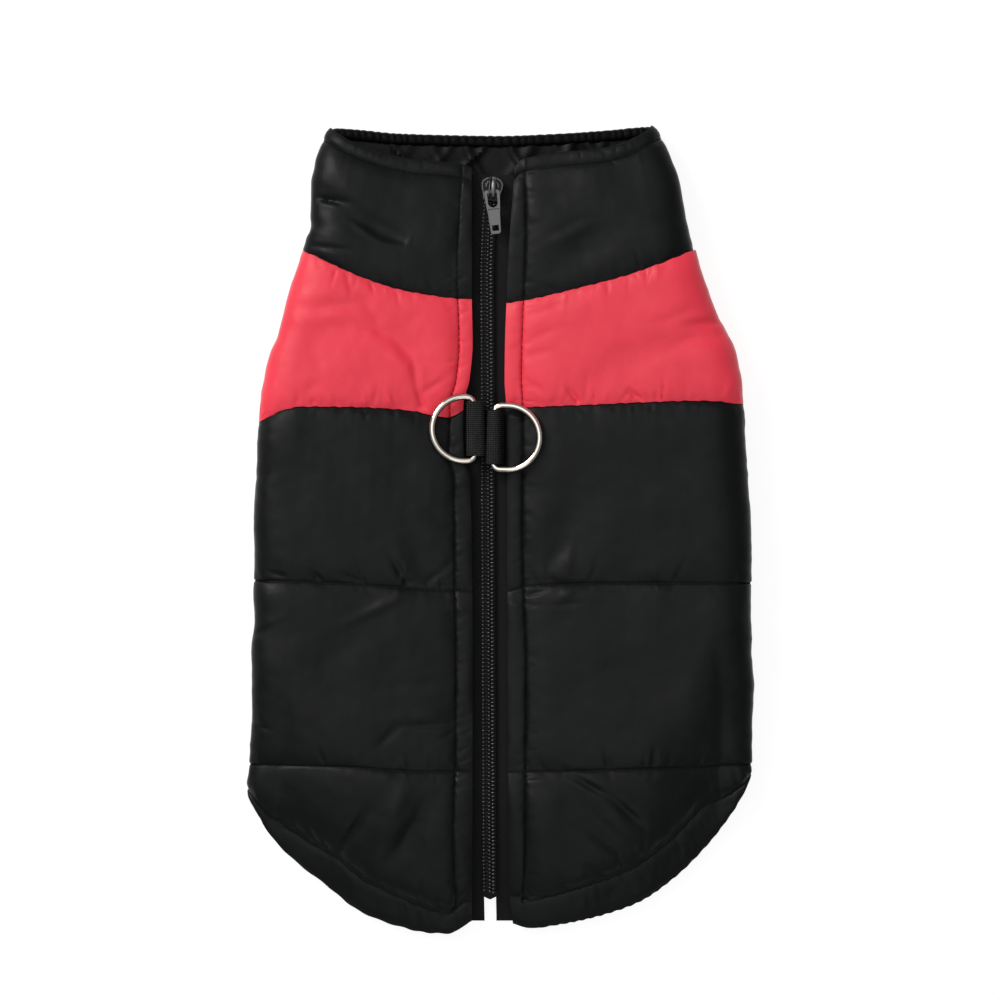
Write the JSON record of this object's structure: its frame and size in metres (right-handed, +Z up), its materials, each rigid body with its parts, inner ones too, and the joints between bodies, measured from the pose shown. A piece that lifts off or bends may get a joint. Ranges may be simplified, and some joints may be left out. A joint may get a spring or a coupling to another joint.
{
  "type": "dog jacket",
  "caption": "Padded sleeveless dog jacket with a stand collar, contrast yoke, quilted back panel, back zip and lead rings on webbing loops, lying flat with the zip upwards.",
  "frame": {"origin": "on the surface that the jacket lies on, under the middle of its bounding box", "axes": "+Z up, +Y along the zip from the hem to the collar, +X to the right as the jacket is seen from above"},
  "size_m": [0.217, 0.3479, 0.0265],
  "materials": {
    "black_nylon": "smooth woven nylon with a soft sheen",
    "red_nylon": "smooth woven nylon with a soft sheen",
    "black_webbing": "matte ribbed weave",
    "black_coil": "satin nylon coil",
    "dark_gunmetal": "dark gunmetal plating",
    "bright_nickel": "bright nickel plating"
  },
  "bodies": {
    "jacket": {"collar_left": "black_nylon", "collar_right": "black_nylon", "yoke_left": "red_nylon", "yoke_right": "red_nylon", "back_left": "black_nylon", "back_right": "black_nylon", "chest_panel": "black_nylon", "throat_casing": "black_nylon", "zip_tape_left": "black_webbing", "zip_tape_right": "black_webbing", "zip_chain": "black_coil", "slider": "dark_gunmetal", "ring_tab_left": "black_webbing", "ring_tab_right": "black_webbing"},
    "left_ring": {"ring_left": "bright_nickel"},
    "right_ring": {"ring_right": "bright_nickel"},
    "pull": {"pull_tab": "dark_gunmetal"}
  },
  "joints": [
    {"name": "left_ring_swing", "type": "hinge", "parent": "jacket", "child": "left_ring", "pos_m": [-0.0112, 0.0433, 0.0226], "axis": [-0.0262, 0.9997, 0], "range_deg": [0, 84]},
    {"name": "right_ring_swing", "type": "hinge", "parent": "jacket", "child": "right_ring", "pos_m": [-0.0026, 0.0396, 0.0229], "axis": [-0.0262, -0.9997, 0], "range_deg": [0, 84]},
    {"name": "pull_swing", "type": "hinge", "parent": "jacket", "child": "pull", "pos_m": [-0.00355, 0.14483, 0.01813], "axis": [-0.9945, -0.1045, 0], "range_deg": [0, 120]}
  ]
}
